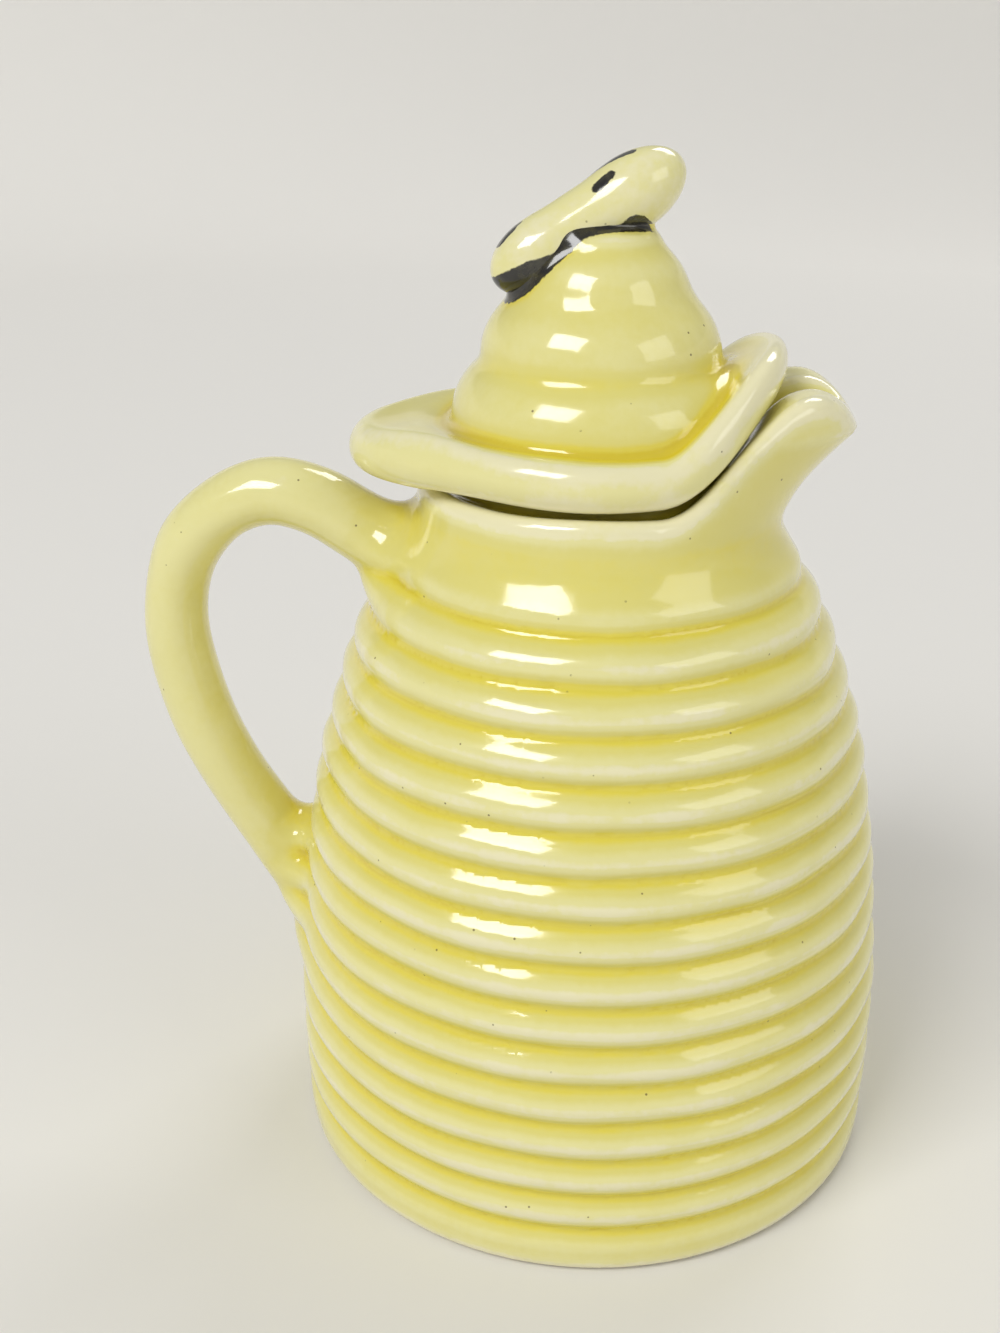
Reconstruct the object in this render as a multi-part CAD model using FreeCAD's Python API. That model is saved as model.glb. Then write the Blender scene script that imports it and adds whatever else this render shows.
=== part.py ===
"""Hive-shaped honey pot with a pouring spout, a loop handle and a lift-off lid that carries a bee.

Frame: origin at the middle of the foot on the table, +Z up, +X to the spout, handle at -X. Sizes in mm.
"""
import FreeCAD, Part
import math
import os

V = FreeCAD.Vector

# Pot
HIVE_R = 42.5              # widest radius over the ribs
HIVE_SHRINK = 27.1         # how much of that radius the dome loses toward its top
HIVE_WIDE_Z = 15.0         # height of the widest rib
RIB_COUNT = 14
RIB_LOW_Z = 6.7            # lowest groove
RIB_TOP_Z = 85.0           # highest groove, under the shoulder band
RIB_DEPTH = 1.3
DOME_OVER = 10.0           # top of the dome curve above the highest groove
HIVE_DOME_H = RIB_TOP_Z + DOME_OVER - HIVE_WIDE_Z
FOOT_ROUND = 2.2           # rounding of the foot's edge
WALL = 4.4                 # behind a groove
FLOOR = 5.5
SHOULDER_H = 6.5           # plain band between the ribs and the collar
NECK_Z = RIB_TOP_Z + SHOULDER_H
NECK_R = 23.8
NECK_H = 6.5
LEDGE_W = 9.0              # rim's ledge, from the mouth to the neck's radius
MOUTH_R = NECK_R - LEDGE_W
RIM_Z = NECK_Z + NECK_H    # flat part of the rim

# Spout
SPOUT_REACH = 9.8          # nose beyond the neck's radius
SPOUT_SPREAD = 0.47        # angular half-width of the spout, radians
SPOUT_RISE = 12.2          # highest point of the spout's rim above the flat rim
SPOUT_START_X = 8.0        # where the rim starts to rise
SPOUT_PEAK_X = 26.5
NOSE_DROP = 5.0            # nose below that highest point
CHANNEL_W = 6.6
CHANNEL_DEPTH = 4.6

# Handle
HANDLE_THICK = 8.8         # in the loop's plane
HANDLE_WIDE = 10.6         # across it
HANDLE_FLARE = 0.45        # how much larger the section is at its roots
HANDLE_PATH = ((-20, -16.5), (-31, -9.4), (-38, -5.4), (-45, -4.4), (-52, -7.6), (-57.2, -14.5), (-58.8, -24),
               (-57, -35), (-52.5, -46), (-46, -57), (-40, -66), (-35, -73))  # x, and z below the rim

# Lid
SEAT_GAP = 0.35            # between rim and brim
SPOUT_GAP = 0.6            # between the spout's rising rim and the lid
PLUG_GAP = 0.8             # between mouth and plug, all round
PLUG_DEPTH = 24.0
PLUG_TAPER = 0.8
PLUG_WALL = 3.8
BRIM_R = NECK_R            # brim's edge in line with the rim's
BRIM_THICK = 7.2           # fully rounded at its edge
BILL_REACH = 9.4           # bill's tip beyond the brim's radius, over the handle's root
BILL_SPREAD = 0.54         # angular half-width of the bill, radians
ARCH_THICK = 5.0           # brim where it climbs over the foot of the spout
ARCH_ROUND = 1.7           # its upper edge
ARCH_INSET = 0.6           # its edge inside the brim's
LID_WALL = 3.8
TIER_R = (19.4, 15.4, 10.9)        # widest radius of each roll
TIER_Z = (6.4, 15.0, 23.6, 28.4)   # grooves under and over the rolls, above the rim
TIER_NIP = 0.8                     # how far each groove cuts in under its roll
STEM_R = 6.8

# Bee
BEE_LEN = 27.5
BEE_W = 10.3
BEE_H = 9.4
BEE_TILT = 31.0            # degrees, head down
BEE_YAW = 15.0             # degrees, head turned from the bill's middle line toward -Y
BEE_AHEAD = 2.1            # middle of the bee ahead of the lid's axis
BEE_Z = 31.8               # and above the rim
BEE_SHAPE = ((-1.0, 0.25), (-0.95, 0.55), (-0.82, 0.83), (-0.55, 1.0), (-0.2, 0.98), (0.12, 0.92), (0.45, 0.94),
             (0.7, 0.86), (0.9, 0.6), (1.0, 0.25))  # place along the half length, and share of the full girth


def revolve(edges):
    face = Part.Face(Part.Wire(edges))
    return face.revolve(V(0, 0, 0), V(0, 0, 1), 360)


def polyline(points):
    return [Part.LineSegment(V(*a), V(*b)).toShape() for a, b in zip(points, points[1:])]


def through(points):
    curve = Part.BSplineCurve()
    curve.interpolate([V(*p) for p in points])
    return curve.toShape()


def arc(a, b, c):
    return Part.Arc(V(*a), V(*b), V(*c)).toShape()


def ring(middle, first, second):
    """Ellipse from its two half axes."""
    longer, shorter = (first, second) if first.Length >= second.Length else (second, first)
    return Part.Wire(Part.Ellipse(middle + longer, middle + shorter, middle).toShape())


def hive_radius(z):
    rise = (z - HIVE_WIDE_Z) / HIVE_DOME_H
    return HIVE_R - HIVE_SHRINK * (1 - math.sqrt(1 - rise * rise))


def rim_height(x):
    """Height of the pot's rim at x: flat at the back, up to the spout's peak, over to the nose."""
    if x <= SPOUT_START_X:
        return RIM_Z
    if x <= SPOUT_PEAK_X:
        part = (x - SPOUT_START_X) / (SPOUT_PEAK_X - SPOUT_START_X)
        return RIM_Z + SPOUT_RISE * 0.5 * (1 - math.cos(math.pi * part))
    nose_x = NECK_R + SPOUT_REACH
    part = (x - SPOUT_PEAK_X) / (nose_x - SPOUT_PEAK_X)
    return RIM_Z + SPOUT_RISE - NOSE_DROP * part * part


def drawn_radius(radius, reach, spread, angle):
    return radius + reach * math.exp(-(angle / spread) ** 2)


def outline(radius, reach, spread, z, side=1):
    """Closed plan curve: a circle drawn out toward +X, or toward -X with side -1."""
    points = []
    count = 48
    for i in range(count):
        angle = -math.pi + 2 * math.pi * i / count
        r = drawn_radius(radius, reach, spread, angle)
        points.append(V(side * r * math.cos(angle), r * math.sin(angle), z))
    curve = Part.BSplineCurve()
    curve.interpolate(points, PeriodicFlag=True)
    return Part.Wire(curve.toShape())


def side_prism(edges, half_width):
    """Prism across the pot from a closed outline in the XZ plane."""
    face = Part.Face(Part.Wire(edges))
    face.translate(V(0, -half_width, 0))
    return face.extrude(V(0, 2 * half_width, 0))


def over_curve(points, top):
    """Everything above a curve in the XZ plane."""
    first = points[0]
    last = points[-1]
    frame = [last, (last[0], 0, top), (first[0], 0, top), first]
    return side_prism([through(points)] + polyline(frame), 80)


# Vessel
pitch = (RIB_TOP_Z - RIB_LOW_Z) / RIB_COUNT
grooves = [RIB_LOW_Z + pitch * i for i in range(RIB_COUNT + 1)]
foot_r = hive_radius(0) - RIB_DEPTH
low_groove_r = hive_radius(RIB_LOW_Z) - RIB_DEPTH
outer = polyline([(0, 0, 0), (foot_r - FOOT_ROUND, 0, 0)])
diagonal = FOOT_ROUND * (1 - math.sqrt(0.5))
outer.append(arc((foot_r - FOOT_ROUND, 0, 0), (foot_r - diagonal, 0, diagonal), (foot_r, 0, FOOT_ROUND)))
outer.append(arc((foot_r, 0, FOOT_ROUND), (foot_r + RIB_DEPTH, 0, 0.5 * (FOOT_ROUND + RIB_LOW_Z)),
                 (low_groove_r, 0, RIB_LOW_Z)))
for low, high in zip(grooves, grooves[1:]):
    middle = 0.5 * (low + high)
    outer.append(arc((hive_radius(low) - RIB_DEPTH, 0, low), (hive_radius(middle), 0, middle),
                     (hive_radius(high) - RIB_DEPTH, 0, high)))
shoulder_r = hive_radius(RIB_TOP_Z) - RIB_DEPTH
bulge_z = RIB_TOP_Z + 0.6 * (NECK_Z - RIB_TOP_Z)
outer.append(arc((shoulder_r, 0, RIB_TOP_Z), (0.5 * (shoulder_r + NECK_R) + 1.4, 0, bulge_z),
                 (NECK_R, 0, NECK_Z)))
outer += polyline([(NECK_R, 0, NECK_Z), (0, 0, NECK_Z), (0, 0, 0)])
vessel = revolve(outer)

inside = []
for i in range(9):
    z = FLOOR + 3 + (RIB_TOP_Z - 6 - FLOOR - 3) * i / 8
    inside.append((hive_radius(z) - RIB_DEPTH - WALL, 0, z))
throat_z = NECK_Z - 2.5
cavity_edges = polyline([(0, 0, FLOOR), (inside[0][0] - 3, 0, FLOOR)])
cavity_edges += polyline([(inside[0][0] - 3, 0, FLOOR), inside[0]])
cavity_edges.append(through(inside))
cavity_edges += polyline([inside[-1], (MOUTH_R, 0, throat_z), (MOUTH_R, 0, NECK_Z + 1), (0, 0, NECK_Z + 1),
                          (0, 0, FLOOR)])
hive_body = vessel.cut(revolve(cavity_edges))

# Collar with ledge, mouth and spout
nose_x = NECK_R + SPOUT_REACH
nose_z = RIM_Z + SPOUT_RISE - NOSE_DROP
levels = 8
sections = []
for i in range(levels + 1):
    part = i / levels
    z = NECK_Z + part * (nose_z - NECK_Z)
    sections.append(outline(NECK_R, SPOUT_REACH * part ** 1.4, SPOUT_SPREAD, z))
sections.append(outline(NECK_R, SPOUT_REACH, SPOUT_SPREAD, RIM_Z + SPOUT_RISE + 2))
collar = Part.makeLoft(sections, True)
rise_x = [SPOUT_START_X + (nose_x - SPOUT_START_X) * i / 12 for i in range(13)]
rim_points = [(x, 0, rim_height(x)) for x in rise_x]
rim_tail = (nose_x + 6, 0, nose_z - NOSE_DROP)
above_rim = side_prism(
    [through(rim_points)]
    + polyline([rim_points[-1], rim_tail, (rim_tail[0], 0, RIM_Z + 60), (-80, 0, RIM_Z + 60), (-80, 0, RIM_Z),
                rim_points[0]]), 80)
collar = collar.cut(above_rim)
mouth = Part.makeCylinder(MOUTH_R, 60, V(0, 0, NECK_Z - 1))
collar = collar.cut(mouth)
channel_end = SPOUT_PEAK_X + 0.3 * SPOUT_REACH
floor_points = []
for i in range(9):
    x = MOUTH_R - 4 + (channel_end - MOUTH_R + 4) * i / 8
    floor_points.append((x, 0, rim_height(x) - CHANNEL_DEPTH * (1 - 0.6 * i / 8)))
channel_plan = Part.Wire(
    polyline([(channel_end - 0.4 * CHANNEL_W, -0.4 * CHANNEL_W, 0), (MOUTH_R - 4, -0.6 * CHANNEL_W, 0),
              (MOUTH_R - 4, 0.6 * CHANNEL_W, 0), (channel_end - 0.4 * CHANNEL_W, 0.4 * CHANNEL_W, 0)])
    + [arc((channel_end - 0.4 * CHANNEL_W, 0.4 * CHANNEL_W, 0), (channel_end, 0, 0),
           (channel_end - 0.4 * CHANNEL_W, -0.4 * CHANNEL_W, 0))])
channel = Part.Face(channel_plan).extrude(V(0, 0, RIM_Z + 60))
collar_spout = collar.cut(channel.common(over_curve(floor_points, RIM_Z + 50)))

# Handle: a loft of ellipses square to the loop, wider at both roots
path = through([(x, 0, RIM_Z + z) for x, z in HANDLE_PATH])
rings = []
ring_count = 26
for i in range(ring_count + 1):
    part = i / ring_count
    at = path.getParameterByLength(part * path.Length)
    middle = path.valueAt(at)
    across = path.tangentAt(at).cross(V(0, 1, 0))
    size = 1 + HANDLE_FLARE * (math.exp(-part / 0.09) + math.exp(-(1 - part) / 0.09))
    rings.append(ring(middle, V(0, 0.5 * HANDLE_WIDE * size, 0), across * (0.5 * HANDLE_THICK * size)))
strap = Part.makeLoft(rings, True)
loop_handle = strap.cut(vessel)
loop_handle = max(loop_handle.Solids, key=lambda solid: solid.Volume)


def lid_under(x):
    return rim_height(x) + SPOUT_GAP


# Lid hood: rounded brim with its bill, arch over the spout's foot, three rolls and the stem
plug_r = MOUTH_R - PLUG_GAP
base_z = RIM_Z + SEAT_GAP
half_brim = 0.5 * BRIM_THICK
edge_turn = math.radians(80)   # how far the edge is rounded over, up and down
brim_levels = 8
brim_rings = []
for i in range(brim_levels + 1):
    turn = edge_turn * (2 * i / brim_levels - 1)
    ring_r = BRIM_R - half_brim * (1 - math.cos(turn))
    ring_z = base_z + half_brim * (1 + math.sin(turn) / math.sin(edge_turn))
    brim_rings.append(outline(ring_r, BILL_REACH, BILL_SPREAD, ring_z, -1))
brim = Part.makeLoft(brim_rings, True)
arch_x = [SPOUT_START_X + (BRIM_R + 2 - SPOUT_START_X) * i / 14 for i in range(15)]
under_points = [(x, 0, lid_under(x)) for x in arch_x]
block_x = SPOUT_START_X + 2
top_x = [block_x + (BRIM_R + 2 - block_x) * i / 14 for i in range(15)]
top_points = [(x, 0, lid_under(x) + ARCH_THICK) for x in top_x]
slab = side_prism([through(top_points)]
                  + polyline([top_points[-1], (top_x[-1], 0, RIM_Z - 4), (block_x, 0, RIM_Z - 4), top_points[0]]), 80)
arch = slab.common(Part.makeCylinder(BRIM_R - ARCH_INSET, 80, V(0, 0, RIM_Z - 4)))
outer_edges = [edge for edge in arch.Edges if edge.CenterOfMass.x > block_x + 1]
arch = arch.makeFillet(ARCH_ROUND, [max(outer_edges, key=lambda edge: edge.CenterOfMass.z)])
groove_r = TIER_R[0] - TIER_NIP
brim_top = RIM_Z + TIER_Z[0]
rolls = polyline([(0, 0, base_z + 1), (groove_r, 0, base_z + 1), (groove_r, 0, brim_top)])
for i, radius in enumerate(TIER_R):
    low = RIM_Z + TIER_Z[i]
    high = RIM_Z + TIER_Z[i + 1]
    next_r = TIER_R[i + 1] - TIER_NIP if i + 1 < len(TIER_R) else STEM_R
    rolls.append(through([(radius - TIER_NIP, 0, low), (radius, 0, low + 0.33 * (high - low)),
                          (0.4 * next_r + 0.6 * radius, 0, low + 0.8 * (high - low)), (next_r, 0, high)]))
stem_top = RIM_Z + BEE_Z
rolls += polyline([(STEM_R, 0, RIM_Z + TIER_Z[-1]), (STEM_R - 1.2, 0, stem_top), (0, 0, stem_top),
                   (0, 0, base_z + 1)])
spout_room = side_prism(
    polyline([(SPOUT_START_X, 0, RIM_Z - 5), (arch_x[-1], 0, RIM_Z - 5), under_points[-1]])
    + [through(under_points)] + polyline([under_points[0], (SPOUT_START_X, 0, RIM_Z - 5)]), 80)
core = Part.makeCylinder(plug_r, TIER_Z[0], V(0, 0, base_z))
hood = brim.fuse(revolve(rolls)).fuse(arch).cut(spout_room).fuse(core)
hollow_top = RIM_Z + TIER_Z[2]
bore_r = plug_r - PLUG_WALL
crown_r = 0.3 * bore_r
hollow = revolve(
    polyline([(0, 0, RIM_Z - 1), (bore_r, 0, RIM_Z - 1), (bore_r, 0, brim_top)])
    + [arc((bore_r, 0, brim_top), (TIER_R[1] - LID_WALL - 2, 0, 0.5 * (brim_top + hollow_top) + 1),
           (crown_r, 0, hollow_top))]
    + polyline([(crown_r, 0, hollow_top), (0, 0, hollow_top), (0, 0, RIM_Z - 1)]))
lid_hood = hood.cut(hollow)

# Plug: open tube with a rounded lower edge
half_wall = 0.5 * PLUG_WALL
plug_low = RIM_Z - PLUG_DEPTH
low_r = plug_r - PLUG_TAPER
lid_plug = revolve(
    polyline([(low_r, 0, plug_low + half_wall), (plug_r, 0, base_z), (plug_r - PLUG_WALL, 0, base_z),
              (low_r - PLUG_WALL, 0, plug_low + half_wall)])
    + [arc((low_r - PLUG_WALL, 0, plug_low + half_wall), (low_r - half_wall, 0, plug_low),
           (low_r, 0, plug_low + half_wall))])

# Bee: peanut-shaped body, broad tail lobe and rounder head, head toward the bill
bee_rings = []
for along, girth in BEE_SHAPE:
    bee_rings.append(ring(V(0.5 * BEE_LEN * along, 0, 0), V(0, 0.5 * BEE_W * girth, 0), V(0, 0, 0.5 * BEE_H * girth)))
bee = Part.makeLoft(bee_rings, True)
heading = FreeCAD.Rotation(V(0, 0, 1), 180 + BEE_YAW)
bee_place = heading.multVec(V(BEE_AHEAD, 0, 0)) + V(0, 0, RIM_Z + BEE_Z)
bee.Placement = FreeCAD.Placement(bee_place, heading * FreeCAD.Rotation(V(0, 1, 0), BEE_TILT))
bee_finial = bee.cut(lid_hood)
bee_finial = max(bee_finial.Solids, key=lambda solid: solid.Volume)

os.makedirs("parts", exist_ok=True)
for name, shape in (("hive_body", hive_body), ("collar_spout", collar_spout), ("loop_handle", loop_handle),
                    ("lid_hood", lid_hood), ("lid_plug", lid_plug), ("bee_finial", bee_finial)):
    solid = shape.Solids[0]
    if len(shape.Solids) != 1 or not solid.isValid():
        raise RuntimeError(name + " is not one valid solid")
    solid.exportStep("parts/" + name + ".step")
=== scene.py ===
"""Hive-shaped honey pot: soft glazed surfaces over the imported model, in one shared frame.

Each visible surface is the zero level of a smooth field, worked out in millimetres in the model's frame.
"""
import math

import bpy
import numpy as np
import openvdb
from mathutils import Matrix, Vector


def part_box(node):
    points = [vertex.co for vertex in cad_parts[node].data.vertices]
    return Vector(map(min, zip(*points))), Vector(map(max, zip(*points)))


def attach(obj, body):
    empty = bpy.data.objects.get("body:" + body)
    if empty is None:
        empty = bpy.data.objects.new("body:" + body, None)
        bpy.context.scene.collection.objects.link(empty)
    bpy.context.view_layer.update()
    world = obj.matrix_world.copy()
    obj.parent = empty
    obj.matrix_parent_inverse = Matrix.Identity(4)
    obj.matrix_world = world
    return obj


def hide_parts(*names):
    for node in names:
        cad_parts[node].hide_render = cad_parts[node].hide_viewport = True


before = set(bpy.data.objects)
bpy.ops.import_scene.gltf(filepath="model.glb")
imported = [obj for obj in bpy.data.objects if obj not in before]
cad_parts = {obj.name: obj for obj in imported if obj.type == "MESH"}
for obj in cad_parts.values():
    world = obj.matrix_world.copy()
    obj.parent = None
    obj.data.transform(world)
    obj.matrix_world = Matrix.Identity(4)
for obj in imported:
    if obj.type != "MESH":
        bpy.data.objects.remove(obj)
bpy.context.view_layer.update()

MM = 0.001


def box_mm(node):
    low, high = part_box(node)
    return np.array(low) / MM, np.array(high) / MM


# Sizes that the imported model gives
HIVE_LOW, HIVE_HIGH = box_mm("hive_body")
COLLAR_HIGH = box_mm("collar_spout")[1]
PLUG_LOW, PLUG_HIGH = box_mm("lid_plug")
HIVE_R = HIVE_HIGH[0]
NECK_Z = HIVE_HIGH[2]
NECK_R = COLLAR_HIGH[1]
PLUG_R = PLUG_HIGH[0]

# Sizes shared with the solids, in mm
HIVE_SHRINK = 27.1
HIVE_WIDE_Z = 15.0
HIVE_DOME_H = 80.0
RIB_COUNT = 14
RIB_LOW_Z = 6.7
RIB_TOP_Z = 85.0
RIB_DEPTH = 1.3
WALL = 4.4
FLOOR = 5.5
MOUTH_R = 14.8
RIM_Z = 98.0
SPOUT_REACH = 9.8
SPOUT_SPREAD = 0.47
SPOUT_RISE = 12.2
SPOUT_START_X = 8.0
SPOUT_PEAK_X = 26.5
NOSE_DROP = 5.0
HANDLE_THICK = 8.8
HANDLE_WIDE = 10.6
HANDLE_FLARE = 0.3
HANDLE_PATH = ((-20, -16.5), (-31, -9.4), (-38, -5.4), (-45, -4.4), (-52, -7.6), (-57.2, -14.5), (-58.8, -24),
               (-57, -35), (-52.5, -46), (-46, -57), (-40, -66), (-35, -73))
SEAT_GAP = 0.35
SPOUT_GAP = 0.6
PLUG_DEPTH = RIM_Z - PLUG_LOW[2]
PLUG_TAPER = 0.8
PLUG_WALL = 3.8
BRIM_R = 23.8
BRIM_THICK = 7.2
BILL_REACH = 9.4
BILL_SPREAD = 0.54
BILL_DROOP = 1.2
BILL_START = 14.0
STEM_R = 6.8
BEE_TILT = math.radians(31.0)
BEE_YAW = math.radians(15.0)
BEE_ROLL = math.radians(22.0)
BEE_AHEAD = 2.1
BEE_Z = 31.8
BEE_TAIL = (-6.2, (7.6, 5.15, 4.7))       # middle along the bee, and half sizes
BEE_WAIST = (0.8, (9.0, 4.5, 4.2))
BEE_HEAD = (7.0, (6.8, 4.7, 4.4))

# Softness of the glazed surface, in mm
GROOVE_SOFT = 0.22         # share of a rib's height that rounds its groove
FOOT_SOFT = 2.2
NECK_SOFT = 2.6
ROOT_SOFT = 6.0
RIM_SOFT = 2.2
MOUTH_SOFT = 1.6
GUTTER_DEPTH = 0.9
VALLEY_DEPTH = 0.9          # round the foot of the lowest roll
VALLEY_R = 19.4
VALLEY_WIDE = 2.6
DISH_DEPTH = 0.6            # on top of the bill
DISH_X = 26.5
DISH_LONG = 4.2
DISH_WIDE = 8.5
CHANNEL_BACK = 5.0          # start inside the mouth, end past the spout's peak
CHANNEL_PAST = 2.2
CHANNEL_HALF = 4.4
CHANNEL_NARROWING = 2.0
WOBBLE = 0.07
SEAT_SKIN = 0.25            # the lid's seat for the bee lies this far inside it
SEAT_RISE = 2.4             # and stands this high
LID_ROLLS = ((19.4, 10.0, 4.4, 0.40, 2.0), (15.4, 18.0, 4.4, 0.50, 1.6),
             (10.9, 25.0, 2.9, 0.50, 2.6))    # radius, level, half thickness, lean and softness of each roll


# Fields

def smooth_min(a, b, k):
    h = np.clip(0.5 + 0.5 * (b - a) / k, 0, 1)
    return b + (a - b) * h - k * h * (1 - h)


def smooth_max(a, b, k):
    return -smooth_min(-a, -b, k)


def hand_wobble(x, y, z):
    """Slow unevenness of hand-finished ware, none at the foot."""
    waves = np.sin(0.31 * x + 0.17 * z + 1.3) + np.sin(0.27 * y - 0.22 * z + 0.4)
    waves = waves + np.sin(0.23 * (x + y) + 0.35 * z)
    return WOBBLE * waves * np.clip(z / 20, 0, 1)


def hive_radius(z):
    rise = np.clip((z - HIVE_WIDE_Z) / HIVE_DOME_H, -0.99, 0.99)
    return HIVE_R - HIVE_SHRINK * (1 - np.sqrt(1 - rise * rise))


def hive_slope(z):
    """Turns a radial distance into a distance from the dome."""
    lean = hive_radius(z + 0.5) - hive_radius(z - 0.5)
    return 1 / np.sqrt(1 + lean * lean)


def rib_relief(z):
    """Depth of the surface below the dome: rounded ribs with narrow grooves."""
    pitch = (RIB_TOP_Z - RIB_LOW_Z) / RIB_COUNT
    turn = np.clip((z - RIB_LOW_Z) / pitch, -0.5, RIB_COUNT + 0.5)
    wave = np.sqrt(np.sin(math.pi * turn) ** 2 + GROOVE_SOFT ** 2)
    crest = math.sqrt(1 + GROOVE_SOFT ** 2)
    return RIB_DEPTH * (crest - wave) / (crest - GROOVE_SOFT)


def rim_height(x):
    """Rim above its flat part: up to the spout's peak, then over to the nose."""
    rise = np.clip((x - SPOUT_START_X) / (SPOUT_PEAK_X - SPOUT_START_X), 0, 1)
    nose = np.clip((x - SPOUT_PEAK_X) / (NECK_R + SPOUT_REACH - SPOUT_PEAK_X), 0, 1.6)
    return SPOUT_RISE * 0.5 * (1 - np.cos(math.pi * rise)) - NOSE_DROP * nose * nose


def smooth_path(points, steps):
    """Points along a smooth curve through the given ones."""
    p = np.array(points, dtype=float)
    p = np.vstack([2 * p[0] - p[1], p, 2 * p[-1] - p[-2]])
    out = []
    for a, b, c, d in zip(p, p[1:], p[2:], p[3:]):
        for i in range(steps):
            t = i / steps
            out.append(0.5 * (2 * b + (c - a) * t + (2 * a - 5 * b + 4 * c - d) * t ** 2
                              + (3 * b - a - 3 * c + d) * t ** 3))
    out.append(p[-2])
    return np.array(out)


def path_distance(points, x, z):
    """Distance in the XZ plane to a path, and how far along it the nearest point is, 0 to 1."""
    best = None
    lengths = np.linalg.norm(np.diff(points, axis=0), axis=1)
    total = lengths.sum()
    start = 0.0
    for a, b, length in zip(points, points[1:], lengths):
        ux, uz = (b - a) / length
        t = np.clip((x - a[0]) * ux + (z - a[1]) * uz, 0, length)
        gap = np.hypot(x - a[0] - t * ux, z - a[1] - t * uz)
        along = (start + t) / total
        if best is None:
            best, place = gap, along
        else:
            place = np.where(gap < best, along, place)
            best = np.minimum(gap, best)
        start += length
    return best, place


def handle_field(x, y, z):
    path = smooth_path([(px, RIM_Z + pz) for px, pz in HANDLE_PATH], 6)
    gap, along = path_distance(path, x, z)
    size = 1 + HANDLE_FLARE * (np.exp(-along / 0.09) + np.exp(-(1 - along) / 0.09))
    half_thick = 0.5 * HANDLE_THICK * size
    half_wide = 0.5 * HANDLE_WIDE * size
    return (np.sqrt((gap / half_thick) ** 2 + (y / half_wide) ** 2) - 1) * half_thick


def neck_field(x, y, z):
    r = np.hypot(x, y)
    angle = np.arctan2(y, x)
    nose_z = RIM_Z + SPOUT_RISE - NOSE_DROP
    part = np.clip((z - NECK_Z) / (nose_z - NECK_Z), 0, 1)
    lobe = np.exp(-(angle / SPOUT_SPREAD) ** 2)
    side = (r - NECK_R - SPOUT_REACH * part ** 1.4 * lobe) / np.sqrt(1 + 0.9 * lobe)
    gutter = GUTTER_DEPTH * np.exp(-((r - 0.5 * (MOUTH_R + NECK_R)) / 2.4) ** 2)
    top = (z - RIM_Z - rim_height(x) + gutter) * 0.85
    return np.maximum(smooth_max(side, top, RIM_SOFT), NECK_Z - 6 - z)


def channel_field(x, y, z):
    """Groove that leads from the mouth up the spout."""
    start_x = MOUTH_R - CHANNEL_BACK
    end_x = SPOUT_PEAK_X + CHANNEL_PAST
    along = np.clip((x - start_x) / (end_x - start_x), 0, 1)
    near_x = start_x + along * (end_x - start_x)
    floor_z = RIM_Z + rim_height(near_x) + 0.2
    half = CHANNEL_HALF - CHANNEL_NARROWING * along
    return np.sqrt(y ** 2 + (0.85 * (z - floor_z)) ** 2 + (x - near_x) ** 2) - half


def hollow_field(x, y, z):
    """Room inside the pot: the well, its throat and the mouth."""
    r = np.hypot(x, y)
    slope = hive_slope(z)
    well = (r - hive_radius(z) + RIB_DEPTH + WALL) * slope
    throat = 0.69 * (r - MOUTH_R) + 0.72 * (z - NECK_Z + 2.5)
    well = smooth_max(smooth_max(well, throat, 3.0), FLOOR - z, 5.0)
    mouth = np.maximum(r - MOUTH_R, NECK_Z - 12 - z)
    return smooth_min(well, mouth, 2.5)


def pot_field(x, y, z):
    r = np.hypot(x, y)
    dome = (r - hive_radius(z) + rib_relief(z)) * hive_slope(z)
    dome = smooth_max(dome, z - NECK_Z - 1, 1.5)
    dome = smooth_max(dome, -z, FOOT_SOFT)
    outside = smooth_min(dome, neck_field(x, y, z), NECK_SOFT)
    outside = smooth_min(outside, handle_field(x, y, z), ROOT_SOFT) + hand_wobble(x, y, z)
    inside = smooth_min(hollow_field(x, y, z), channel_field(x, y, z), 1.5)
    return smooth_max(outside, -inside, MOUTH_SOFT)


def roll(r, z, radius, middle, half, lean):
    """Rounded disc whose middle surface rises toward the axis."""
    edge = radius - half
    sag = z - middle + lean * (r - edge)
    return np.hypot(np.maximum(r - edge, 0), sag / math.sqrt(1 + lean * lean)) - half


def bee_axes(x, y, z):
    """Place along the bee, tail to head, across it, and above its middle line."""
    ahead = -x * math.cos(BEE_YAW) - y * math.sin(BEE_YAW) - BEE_AHEAD
    side = x * math.sin(BEE_YAW) - y * math.cos(BEE_YAW)
    rise = z - RIM_Z - BEE_Z
    along = ahead * math.cos(BEE_TILT) - rise * math.sin(BEE_TILT)
    above = ahead * math.sin(BEE_TILT) + rise * math.cos(BEE_TILT)
    across = side * math.cos(BEE_ROLL) + above * math.sin(BEE_ROLL)
    return along, across, above * math.cos(BEE_ROLL) - side * math.sin(BEE_ROLL)


def lobe(u, v, w, middle, half):
    q = np.sqrt(((u - middle) / half[0]) ** 2 + (v / half[1]) ** 2 + (w / half[2]) ** 2)
    return (q - 1) * min(half)


def bee_field(x, y, z):
    u, v, w = bee_axes(x, y, z)
    tail = lobe(u, v, w, *BEE_TAIL)
    waist = lobe(u, v, w, *BEE_WAIST)
    head = lobe(u, v, w, *BEE_HEAD)
    return smooth_min(smooth_min(tail, head, 3.0), waist, 1.5)


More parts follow.
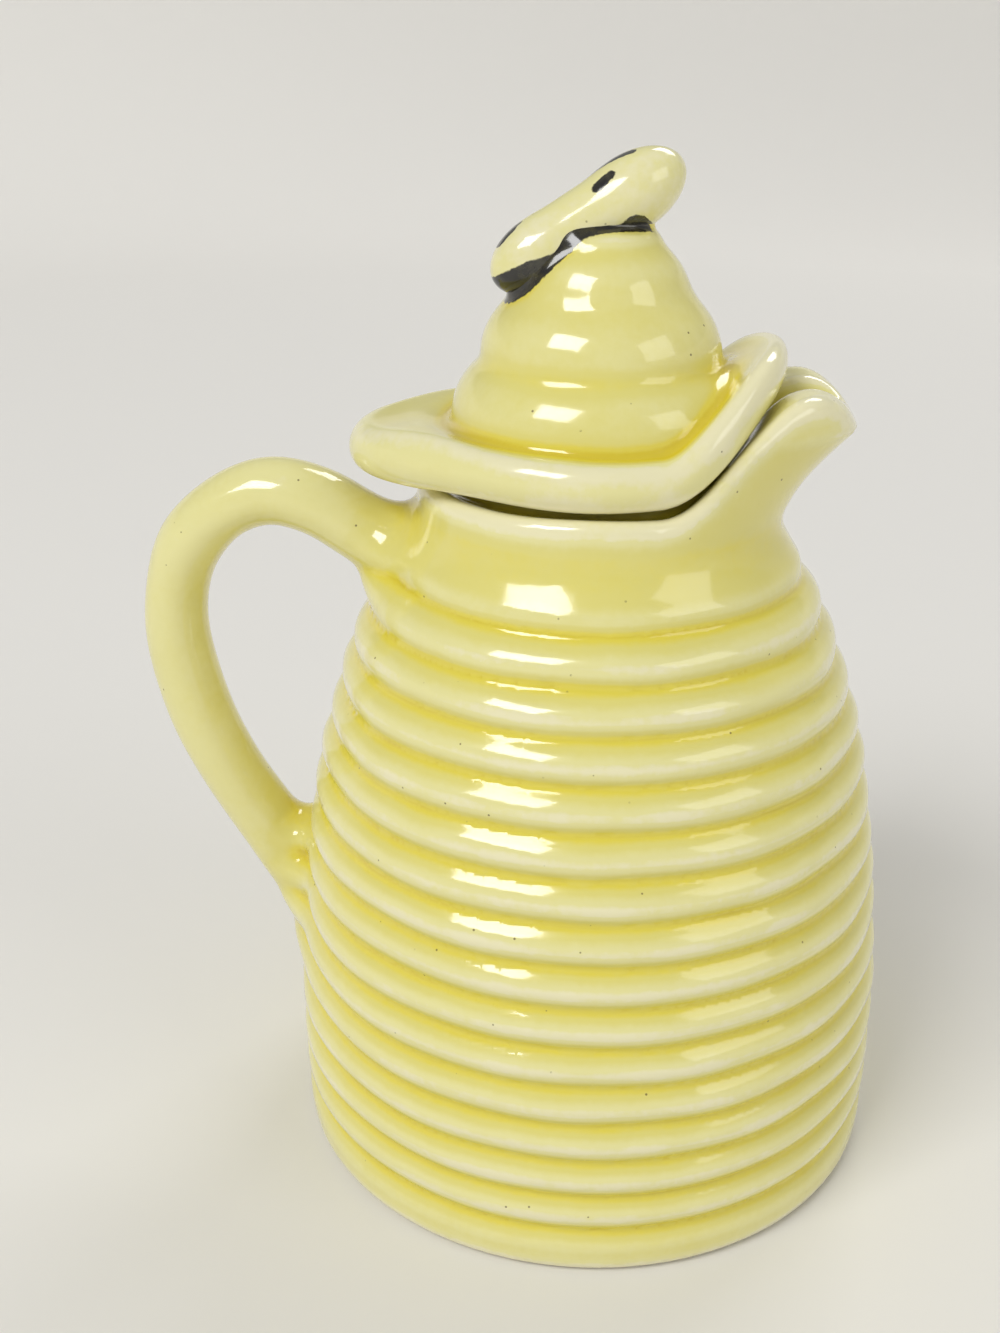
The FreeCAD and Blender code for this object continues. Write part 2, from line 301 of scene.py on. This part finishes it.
def brim_field(x, y, z):
    """Fat rounded brim: flat on the ledge, up over the spout's foot, drawn out to a bill at the handle."""
    r = np.hypot(x, y)
    half = 0.5 * BRIM_THICK
    angle = np.arctan2(y, -x)
    edge = BRIM_R + BILL_REACH * np.exp(-(angle / BILL_SPREAD) ** 2)
    out = np.maximum(-x - BILL_START, 0) / (BRIM_R + BILL_REACH - BILL_START)
    valley = VALLEY_DEPTH * np.exp(-((r - VALLEY_R) / VALLEY_WIDE) ** 2)
    dish = DISH_DEPTH * np.exp(-((x + DISH_X) / DISH_LONG) ** 2 - (y / DISH_WIDE) ** 2)
    level = SEAT_GAP + half + rim_height(x) - BILL_DROOP * out * out - 0.5 * (valley + dish)
    climb = rim_height(x + 0.5) - rim_height(x - 0.5)
    thick = half - 0.5 * (valley + dish)
    sheet = (z - RIM_Z - level) / np.sqrt(1 + climb * climb)
    return np.hypot(np.maximum(r - edge + half, 0), sheet) - thick


def swirl_field(x, y, z):
    """Brim, rolls and stem, without the bee."""
    r = np.hypot(x, y)
    up = z - RIM_Z
    outside = brim_field(x, y, z)
    for radius, middle, half, lean, soft in LID_ROLLS:
        outside = smooth_min(outside, roll(r, up, radius, middle, half, lean), soft)
    stem = smooth_max(r - STEM_R, up - BEE_Z + 1, 2.0)
    return smooth_min(outside, stem, 3.0) + hand_wobble(x, y, z)


def lid_field(x, y, z):
    r = np.hypot(x, y)
    up = z - RIM_Z
    swirl = swirl_field(x, y, z)
    seat = smooth_max(bee_field(x, y, z) + SEAT_SKIN, swirl - SEAT_RISE, 0.8)
    outside = smooth_min(swirl, seat, 1.6)
    gap = SEAT_GAP + (SPOUT_GAP - SEAT_GAP) * np.clip((x - SPOUT_START_X) / 4, 0, 1)
    room = smooth_max((up - rim_height(x) - gap) * 0.8, r - NECK_R - 0.7, 0.6)
    outside = smooth_max(outside, -room, 0.8)
    core = np.maximum(r - PLUG_R, np.abs(up - 5) - 5)
    outside = smooth_min(outside, core, 0.6)
    plug = r - PLUG_R - PLUG_TAPER * np.minimum(up, 0) / PLUG_DEPTH
    plug = np.maximum(smooth_max(plug, -PLUG_DEPTH - up, 4.0), up - 8)
    outside = smooth_min(outside, plug, 0.4)
    bore = r - PLUG_R + PLUG_WALL
    crown = smooth_max(bore, 0.62 * (r - 8.0) + 0.78 * (up - 14.0), 4.0)
    return smooth_max(outside, -crown, 1.6)


# Meshes

def gradient(field, points, h):
    parts = []
    for axis in range(3):
        step = np.zeros(3)
        step[axis] = h
        parts.append((field(*(points + step).T) - field(*(points - step).T)) / (2 * h))
    return np.stack(parts, axis=1)


def field_mesh(name, field, low, high, step):
    """Mesh of the field's zero level, with its points settled on the true surface."""
    axes = [np.arange(lo, hi + step, step) for lo, hi in zip(low, high)]
    values = field(*np.meshgrid(*axes, indexing="ij", sparse=True))
    grid = openvdb.FloatGrid(float(step * 4))
    grid.copyFromArray(np.ascontiguousarray(values, dtype=np.float32))
    points, quads = grid.convertToQuads(isovalue=0.0)
    points = points.astype(float) * step + np.array(low)
    for _ in range(3):
        slope = gradient(field, points, 0.02)
        points -= slope * (field(*points.T) / np.maximum((slope ** 2).sum(axis=1), 0.05))[:, None]
    mesh = bpy.data.meshes.new(name)
    mesh.from_pydata((points * MM).tolist(), [], quads[:, ::-1].tolist())
    mesh.validate()
    mesh.polygons.foreach_set("use_smooth", np.ones(len(mesh.polygons), dtype=bool))
    piece = bpy.data.objects.new(name, mesh)
    bpy.context.scene.collection.objects.link(piece)
    return piece, points


def set_attribute(piece, name, values):
    attribute = piece.data.attributes.new(name, "FLOAT", "POINT")
    attribute.data.foreach_set("value", np.ascontiguousarray(values, dtype=np.float32))


def hollow_measure(field, points, reach):
    """How far the surface bends inward at a point: above 0 in a groove, below 0 on an edge."""
    slope = np.linalg.norm(gradient(field, points, 0.05), axis=1)
    around = np.zeros(len(points))
    for axis in range(3):
        for sign in (-1, 1):
            step = np.zeros(3)
            step[axis] = sign * reach
            around += field(*(points + step).T)
    return -around / np.maximum(slope, 0.3) / reach ** 2


# Materials

def linear(red, green, blue):
    """A colour written as 0 to 255 in sRGB."""
    out = []
    for value in (red, green, blue):
        c = value / 255
        out.append(c / 12.92 if c <= 0.04045 else ((c + 0.055) / 1.055) ** 2.4)
    return (*out, 1.0)


def node(tree, kind, **settings):
    made = tree.nodes.new(kind)
    for key, value in settings.items():
        setattr(made, key, value)
    return made


def ramp(tree, source, stops):
    made = node(tree, "ShaderNodeValToRGB")
    made.color_ramp.interpolation = "EASE"
    while len(made.color_ramp.elements) < len(stops):
        made.color_ramp.elements.new(0.5)
    for element, (place, colour) in zip(made.color_ramp.elements, stops):
        element.position = place
        element.color = colour
    tree.links.new(source, made.inputs["Fac"])
    return made.outputs["Color"]


def noise(tree, coordinates, scale, detail):
    made = node(tree, "ShaderNodeTexNoise")
    made.inputs["Scale"].default_value = scale
    made.inputs["Detail"].default_value = detail
    tree.links.new(coordinates, made.inputs["Vector"])
    return made.outputs["Fac"]


def math_node(tree, operation, first, second):
    made = node(tree, "ShaderNodeMath", operation=operation)
    for socket, value in zip(made.inputs, (first, second)):
        if isinstance(value, (int, float)):
            socket.default_value = value
        else:
            tree.links.new(value, socket)
    return made.outputs["Value"]


def map_range(tree, source, from_low, from_high, to_low, to_high):
    made = node(tree, "ShaderNodeMapRange", interpolation_type="SMOOTHSTEP")
    made.inputs["From Min"].default_value = from_low
    made.inputs["From Max"].default_value = from_high
    made.inputs["To Min"].default_value = to_low
    made.inputs["To Max"].default_value = to_high
    tree.links.new(source, made.inputs["Value"])
    return made.outputs["Result"]


def mix(tree, factor, first, second, blend="MIX"):
    made = node(tree, "ShaderNodeMix", data_type="RGBA", blend_type=blend)
    for index, value in ((0, factor), (6, first), (7, second)):
        if isinstance(value, (int, float, tuple)):
            made.inputs[index].default_value = value
        else:
            tree.links.new(value, made.inputs[index])
    return made.outputs[2]


def attribute(tree, name):
    return node(tree, "ShaderNodeAttribute", attribute_name=name).outputs["Fac"]


THIN = linear(236, 230, 188)
PALE = linear(231, 225, 158)
LEMON = linear(224, 215, 124)
# POOLED and DEEP are thick, pooled glaze; DEEP also paints the shade inside the pot.
POOLED = linear(226, 211, 76)
DEEP = linear(217, 196, 50)
BISQUE = linear(226, 214, 190)
SPECK = linear(92, 74, 40)
INK = linear(20, 18, 17)
CLOUD_SHARE = 0.22          # how far slow clouds and fine grain shift the glaze's depth
GRAIN_SHARE = 0.10
BRISTLE_MM = 0.5            # raggedness of a brush stroke's edge


def glaze(name):
    """Yellow gloss glaze: deep where it pools and where the pot's inside carries painted shade, pale on
    edges, with faint clouds and pinhole specks.
    """
    material = bpy.data.materials.new(name)
    material.use_nodes = True
    tree = material.node_tree
    shader = tree.nodes["Principled BSDF"]
    place = node(tree, "ShaderNodeTexCoord").outputs["Object"]
    cloud = noise(tree, place, 140.0, 3.0)
    fine = noise(tree, place, 900.0, 2.0)
    drift = math_node(tree, "MULTIPLY", math_node(tree, "SUBTRACT", cloud, 0.5), CLOUD_SHARE)
    grain = math_node(tree, "MULTIPLY", math_node(tree, "SUBTRACT", fine, 0.5), GRAIN_SHARE)
    pool_and_shade = math_node(tree, "ADD", math_node(tree, "ADD", attribute(tree, "pool_and_shade"), drift), grain)
    colour = ramp(tree, pool_and_shade, ((0.0, THIN), (0.10, PALE), (0.42, LEMON), (0.74, POOLED), (1.0, DEEP)))
    cells = node(tree, "ShaderNodeTexVoronoi", feature="F1")
    cells.inputs["Scale"].default_value = 400.0
    tree.links.new(place, cells.inputs["Vector"])
    dot = map_range(tree, cells.outputs["Distance"], 0.04, 0.08, 1.0, 0.0)
    rare = map_range(tree, noise(tree, place, 210.0, 1.0), 0.54, 0.60, 0.0, 0.8)
    colour = mix(tree, math_node(tree, "MULTIPLY", dot, rare), colour, SPECK)
    colour = mix(tree, attribute(tree, "bare"), colour, BISQUE)
    tree.links.new(colour, shader.inputs["Base Color"])
    rough = math_node(tree, "ADD", map_range(tree, cloud, 0.3, 0.7, 0.10, 0.17),
                      math_node(tree, "MULTIPLY", attribute(tree, "bare"), 0.6))
    tree.links.new(rough, shader.inputs["Roughness"])
    shader.inputs["IOR"].default_value = 1.52
    shader.inputs["Coat Weight"].default_value = 0.5
    shader.inputs["Coat Roughness"].default_value = 0.04
    bump = node(tree, "ShaderNodeBump")
    bump.inputs["Strength"].default_value = 0.12
    bump.inputs["Distance"].default_value = 0.0004
    tree.links.new(noise(tree, place, 260.0, 2.0), bump.inputs["Height"])
    tree.links.new(bump.outputs["Normal"], shader.inputs["Normal"])
    return material, tree, shader, colour, place


def painted_glaze(name):
    """The same glaze under black brushwork, whose edge distance the mesh carries."""
    material, tree, shader, colour, place = glaze(name)
    bristle = math_node(tree, "SUBTRACT", noise(tree, place, 1500.0, 2.0), 0.5)
    edge = math_node(tree, "ADD", attribute(tree, "ink"), math_node(tree, "MULTIPLY", bristle, BRISTLE_MM))
    cover = map_range(tree, edge, -0.12, 0.08, 1.0, 0.0)
    streak = map_range(tree, noise(tree, place, 700.0, 4.0), 0.3, 0.75, 1.0, 0.95)
    colour = mix(tree, math_node(tree, "MULTIPLY", cover, streak), colour, INK)
    tree.links.new(colour, shader.inputs["Base Color"])
    return material


# Bee paint: tapered strokes as (along, across, height, radius) points in the bee's own axes
BEE_STROKES = (
    ((6.4, -1.9, 4.1, 0.3), (8.2, -1.9, 4.0, 1.05), (9.8, -1.7, 3.7, 1.25)),
    ((7.2, 1.9, 4.1, 0.3), (8.8, 1.8, 3.9, 1.05), (10.3, 1.5, 3.6, 1.2)),
    ((-8.6, -4.6, 1.5, 0.75), (-5.9, -3.7, 3.2, 0.7), (-3.0, -2.3, 3.95, 0.55), (0.1, -1.1, 4.2, 0.3),
     (1.9, -0.7, 4.3, 0.06)),
    ((-8.4, 2.6, 3.9, 0.8), (-6.6, 2.1, 4.3, 0.85), (-4.4, 1.4, 4.4, 0.7), (-1.8, 0.7, 4.3, 0.45),
     (0.6, 0.1, 4.3, 0.25), (3.0, -0.4, 4.3, 0.06)),
    ((-4.0, -4.3, 2.2, 0.75), (-1.5, -3.4, 3.0, 0.7)),
    ((-4.6, 4.2, 2.5, 0.7), (-2.6, 4.2, 2.2, 0.75)))

# Top edge of the painted band round the seat of the bee, as (along, height)
BAND_TOP = ((-7.2, -6.0), (-5.6, -2.6), (-4.2, -1.9), (-2.6, -2.1), (-1.0, -1.5), (0.6, -1.2), (2.0, -1.8),
            (3.3, -1.8), (5.0, -0.9), (6.5, -0.6), (8.0, -0.2), (9.5, 0.3), (12.0, 0.6), (14.0, 0.8))
BAND_LEAN = 0.25           # the far side's edge runs lower
BAND_TAIL = -6.0
SEAT_INK = 1.0             # how far the band runs on to the lid


def ink_distance(points):
    u, v, w = bee_axes(*points.T)
    place = np.stack([u, v, w], axis=1)
    best = w - np.interp(u, *np.transpose(BAND_TOP)) + BAND_LEAN * np.clip(v, 0, 4)
    for stroke in BEE_STROKES:
        for first, second in zip(stroke, stroke[1:]):
            a = np.array(first[:3])
            line = np.array(second[:3]) - a
            t = np.clip((place - a) @ line / (line @ line), 0, 1)
            gap = np.linalg.norm(place - a - t[:, None] * line, axis=1)
            best = np.minimum(best, gap - (first[3] + t * (second[3] - first[3])))
    return best


POOL_FLAT = 0.42            # depth of the glaze on a flat
NEAR_REACH = 1.2
NEAR_GAIN = 0.4
WIDE_REACH = 3.0
WIDE_GAIN = 0.6


def pool_share(field, points):
    """How deep the glaze lies, from the bend of the surface close by and further around."""
    near = NEAR_GAIN * hollow_measure(field, points, NEAR_REACH)
    wide = WIDE_GAIN * hollow_measure(field, points, WIDE_REACH)
    return np.clip(POOL_FLAT + near + wide, 0, 1)


# Pieces
MARGIN = 3.0
POT_STEP = 0.75
LID_STEP = 0.45
BEE_STEP = 0.3
pot_low = np.minimum(HIVE_LOW, box_mm("loop_handle")[0]) - MARGIN
pot_high = np.maximum(HIVE_HIGH, COLLAR_HIGH) + MARGIN
pot, pot_points = field_mesh("pot", pot_field, pot_low, pot_high, POT_STEP)
# Painted shade and pooled glaze: the inside of the pot below the rim is coloured as the deepest glaze,
# standing in for the shade there.
below_rim = np.clip((RIM_Z - 1 - pot_points[:, 2]) / 4, 0, 1)
inside_shade_and_pool = np.clip(1.4 - np.abs(hollow_field(*pot_points.T)), 0, 1) * below_rim
set_attribute(pot, "pool_and_shade", np.maximum(pool_share(pot_field, pot_points), inside_shade_and_pool))
set_attribute(pot, "bare", np.clip((0.5 - pot_points[:, 2]) / 0.4, 0, 1))
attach(pot, "pot")
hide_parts("hive_body", "collar_spout", "loop_handle")

bee_low, bee_high = box_mm("bee_finial")
lid_low = np.minimum(box_mm("lid_hood")[0], PLUG_LOW) - MARGIN
lid_high = np.maximum(box_mm("lid_hood")[1], bee_high) + MARGIN
lid, lid_points = field_mesh("lid", lid_field, lid_low, lid_high, LID_STEP)
set_attribute(lid, "pool_and_shade", pool_share(lid_field, lid_points))
set_attribute(lid, "bare", np.zeros(len(lid_points)))
near_bee = bee_field(*lid_points.T) - SEAT_INK
set_attribute(lid, "ink", np.maximum(near_bee, BAND_TAIL - bee_axes(*lid_points.T)[0]))
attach(lid, "lid")
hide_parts("lid_hood", "lid_plug")

bee, bee_points = field_mesh("bee", bee_field, bee_low - MARGIN, bee_high + MARGIN, BEE_STEP)
bee_u, bee_v, bee_w = bee_axes(*bee_points.T)
back = np.exp(-(bee_v / 2.6) ** 2) * np.clip((bee_w - 1.5) / 2.5, 0, 1) * np.clip((8 - bee_u) / 4, 0, 1)
set_attribute(bee, "pool_and_shade", 0.05 + 0.30 * back)
set_attribute(bee, "bare", np.zeros(len(bee_points)))
set_attribute(bee, "ink", ink_distance(bee_points))
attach(bee, "lid")
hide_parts("bee_finial")

body_glaze = glaze("yellow_glaze_body")[0]
pot.data.materials.append(body_glaze)
bee_paint = painted_glaze("yellow_glaze_painted")
lid.data.materials.append(bee_paint)
bee.data.materials.append(bee_paint)


# Floor, light and camera

def plain_material(name, colour, roughness):
    material = bpy.data.materials.new(name)
    material.use_nodes = True
    shader = material.node_tree.nodes["Principled BSDF"]
    shader.inputs["Base Color"].default_value = colour
    shader.inputs["Roughness"].default_value = roughness
    return material


def studio_bowl(name, flat, bend, height):
    """Round floor that curves up into a low backdrop on every side."""
    rows = [(0.001, 0.0)]
    for i in range(17):
        turn = 0.5 * math.pi * i / 16
        rows.append((flat + bend * math.sin(turn), bend * (1 - math.cos(turn))))
    rows.append((flat + bend, height))
    count = 96
    verts = []
    for r, z in rows:
        for i in range(count):
            turn = 2 * math.pi * i / count
            verts.append((r * math.cos(turn), r * math.sin(turn), z))
    faces = [tuple(reversed(range(count)))]
    for j in range(len(rows) - 1):
        for i in range(count):
            k = (i + 1) % count
            faces.append((j * count + i, j * count + k, (j + 1) * count + k, (j + 1) * count + i))
    mesh = bpy.data.meshes.new(name)
    mesh.from_pydata(verts, [], faces)
    mesh.polygons.foreach_set("use_smooth", [True] * len(faces))
    piece = bpy.data.objects.new(name, mesh)
    bpy.context.scene.collection.objects.link(piece)
    piece.data.materials.append(plain_material(name + "_paper", linear(232, 230, 225), 0.85))


def softbox(name, place, target, size, power):
    light = bpy.data.lights.new(name, "AREA")
    light.shape = "RECTANGLE"
    light.size, light.size_y = size
    light.energy = power
    lamp = bpy.data.objects.new(name, light)
    lamp.location = place
    lamp.rotation_euler = (Vector(target) - Vector(place)).to_track_quat("-Z", "Y").to_euler()
    bpy.context.scene.collection.objects.link(lamp)


studio_bowl("backdrop", 0.8, 0.3, 0.4)
MIDDLE = (0.0, 0.0, 0.07)
softbox("key", (-0.88, -1.12, 1.55), MIDDLE, (1.00, 0.75), 22.0)
softbox("fill", (1.50, -0.88, 0.88), MIDDLE, (1.00, 1.25), 7.0)
softbox("rim", (0.62, 1.38, 1.50), MIDDLE, (1.00, 0.62), 9.0)
world = bpy.data.worlds.new("studio")
world.use_nodes = True
world.node_tree.nodes["Background"].inputs["Color"].default_value = (1.0, 1.0, 1.0, 1.0)
world.node_tree.nodes["Background"].inputs["Strength"].default_value = 0.35
bpy.context.scene.world = world
bpy.context.scene.view_settings.view_transform = "Standard"

SENSOR_MM = 36.0
FOCAL_PX = 1560
IMAGE_PX = 1333              # height of the picture
CAMERA_PLACE = Vector((0.005, -0.200, 0.156))
CAMERA_TARGET = Vector((-0.013, 0.0, 0.069))
camera_data = bpy.data.cameras.new("camera")
camera_data.sensor_fit = "VERTICAL"
camera_data.sensor_height = SENSOR_MM
camera_data.lens = SENSOR_MM * FOCAL_PX / IMAGE_PX
camera_data.clip_start = 0.01
camera = bpy.data.objects.new("camera", camera_data)
camera.location = CAMERA_PLACE
camera.rotation_euler = (CAMERA_TARGET - CAMERA_PLACE).to_track_quat("-Z", "Y").to_euler()
bpy.context.scene.collection.objects.link(camera)
bpy.context.scene.camera = camera
